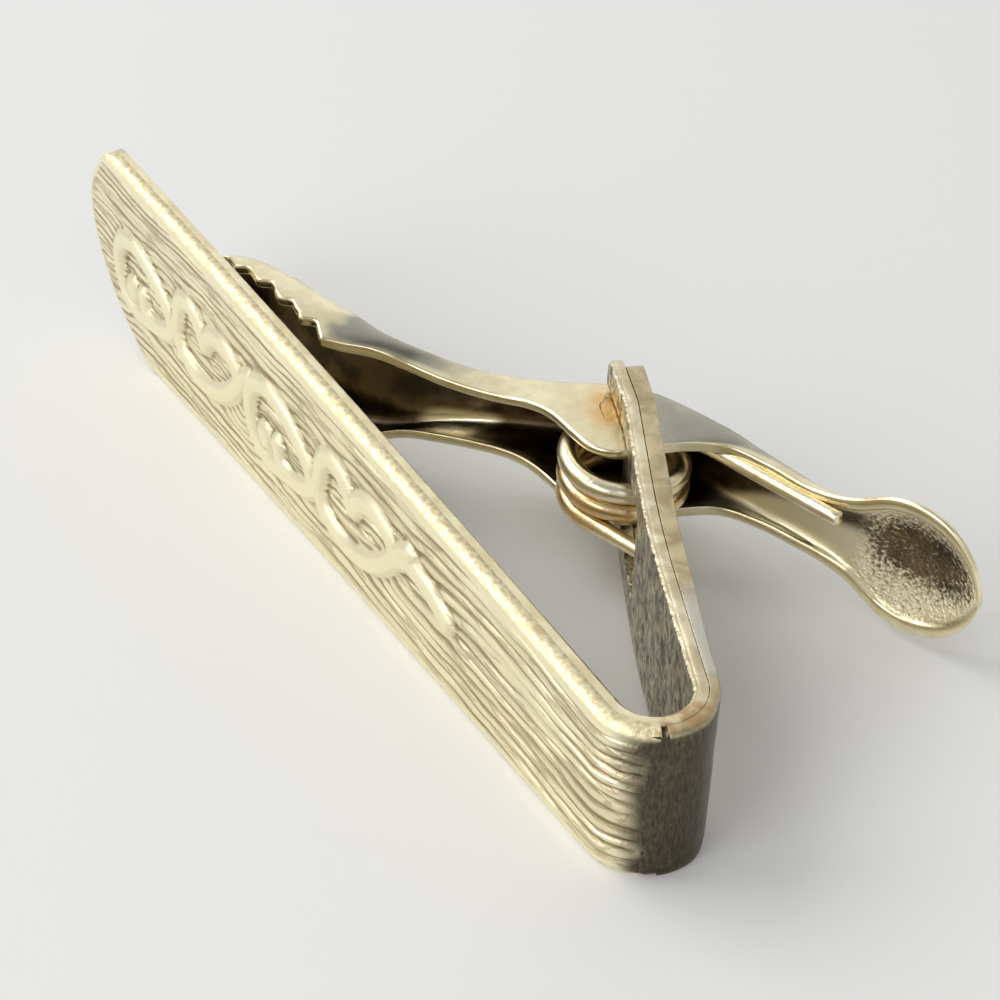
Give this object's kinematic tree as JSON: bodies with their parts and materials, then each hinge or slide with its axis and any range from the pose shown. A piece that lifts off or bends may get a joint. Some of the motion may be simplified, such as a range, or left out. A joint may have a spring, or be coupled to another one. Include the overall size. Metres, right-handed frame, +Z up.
{
  "type": "tie clip",
  "caption": "Spring tie clip: tapered scroll-relief bar bent back into a fork that holds a toothed lever with a thumb spoon on a pin with a coil spring.",
  "frame": {"origin": "centre of the bounding box's bottom, under the middle of the clip as it stands on its lower edge", "axes": "+X along the front bar towards the bend, -Y out of the decorated front, +Z up across the bar's width and along the pivot pin"},
  "size_m": [0.045, 0.0192, 0.0104],
  "materials": {
    "plate_gold": "pale champagne gold plate, satin with relief",
    "strip_gold": "thin worn gold wash over grey-brown metal",
    "back_metal": "brushed, darkened, gold mostly worn off",
    "solder": "dull brown soldered seam",
    "pin": "dull turned pin",
    "lever_gold": "polished gold plate, worn and darkened inside",
    "spring_gold": "smooth drawn wire with gold wash"
  },
  "bodies": {
    "clip_frame": {"front_plate": "plate_gold", "spine_strip": "strip_gold", "back_strip": "back_metal", "bend_solder": "solder", "pivot_pin": "pin", "torsion_spring": "spring_gold"},
    "lever": {"jaw_lever": "lever_gold"}
  },
  "joints": [
    {"name": "lever_pivot", "type": "hinge", "parent": "clip_frame", "child": "lever", "pos_m": [0.00593, 0.00267, 0.00511], "axis": [0, 0, -1], "range_deg": [0, 30], "stiffness_Nm_per_rad": 0.03, "springref_deg": -57.3, "deforming": ["torsion_spring"]}
  ]
}
